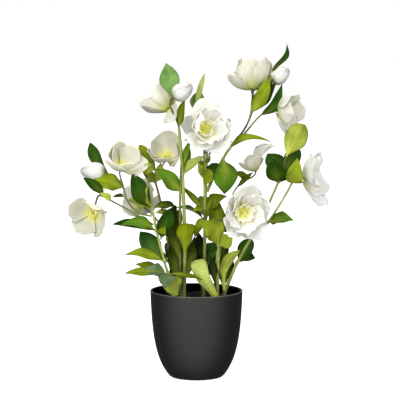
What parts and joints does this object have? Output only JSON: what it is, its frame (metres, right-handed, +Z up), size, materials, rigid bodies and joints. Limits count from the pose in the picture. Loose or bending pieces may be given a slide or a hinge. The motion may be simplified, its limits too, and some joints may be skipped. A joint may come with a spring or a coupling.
{
  "type": "artificial potted hellebore",
  "caption": "Artificial white hellebore in a plain round black pot: slender leafy stems fork into boughs that end in double flowers, buds and leafy shoots.",
  "frame": {"origin": "centre of the pot's flat underside", "axes": "+Z up along the pot's axis, +X to the right of the front view, -Y towards the viewer of that view"},
  "size_m": [0.3652, 0.21, 0.4636],
  "materials": {
    "pot": "satin",
    "fill": "matte",
    "stem": "satin",
    "leaf": "satin",
    "bloom": "matte"
  },
  "bodies": {
    "root": {"bough_back_low": "stem", "bough_back_right": "stem", "bough_far_left": "stem", "bough_front": "stem", "bough_left_middle": "stem", "bough_left_shade": "stem", "bough_right_high": "stem", "bough_right_low": "stem", "bough_upper_right": "stem", "leaves_back_foot": "leaf", "leaves_back_mid": "leaf", "leaves_centre_foot": "leaf", "leaves_centre_high": "leaf", "leaves_centre_left_foot": "leaf", "leaves_centre_left_high": "leaf", "leaves_centre_left_low": "leaf", "leaves_centre_left_mid": "leaf", "leaves_centre_mid": "leaf", "leaves_front_foot": "leaf", "leaves_front_high": "leaf", "leaves_left_back_high": "leaf", "leaves_left_back_low": "leaf", "leaves_left_foot": "leaf", "leaves_left_fork": "leaf", "leaves_left_low": "leaf", "leaves_left_mid": "leaf", "leaves_left_top": "leaf", "leaves_right_foot": "leaf", "leaves_right_low": "leaf", "leaves_right_mid": "leaf", "leaves_upper_right_high": "leaf", "leaves_upper_right_low": "leaf", "pot": "pot", "pot_fill": "fill", "spray_back_low": "bloom", "spray_back_right": "bloom", "spray_back_top": "bloom", "spray_centre": "bloom", "spray_far_left": "bloom", "spray_front": "bloom", "spray_left_inner": "bloom", "spray_left_middle": "bloom", "spray_left_shade": "bloom", "spray_left_tip": "bloom", "spray_right_bloom": "bloom", "spray_right_leafy": "bloom", "spray_right_upper": "bloom", "spray_top_left": "bloom", "spray_top_right": "bloom", "stem_back": "stem", "stem_centre": "stem", "stem_centre_left": "stem", "stem_front": "stem", "stem_left": "stem", "stem_left_back": "stem", "stem_right": "stem"}
  },
  "joints": []
}
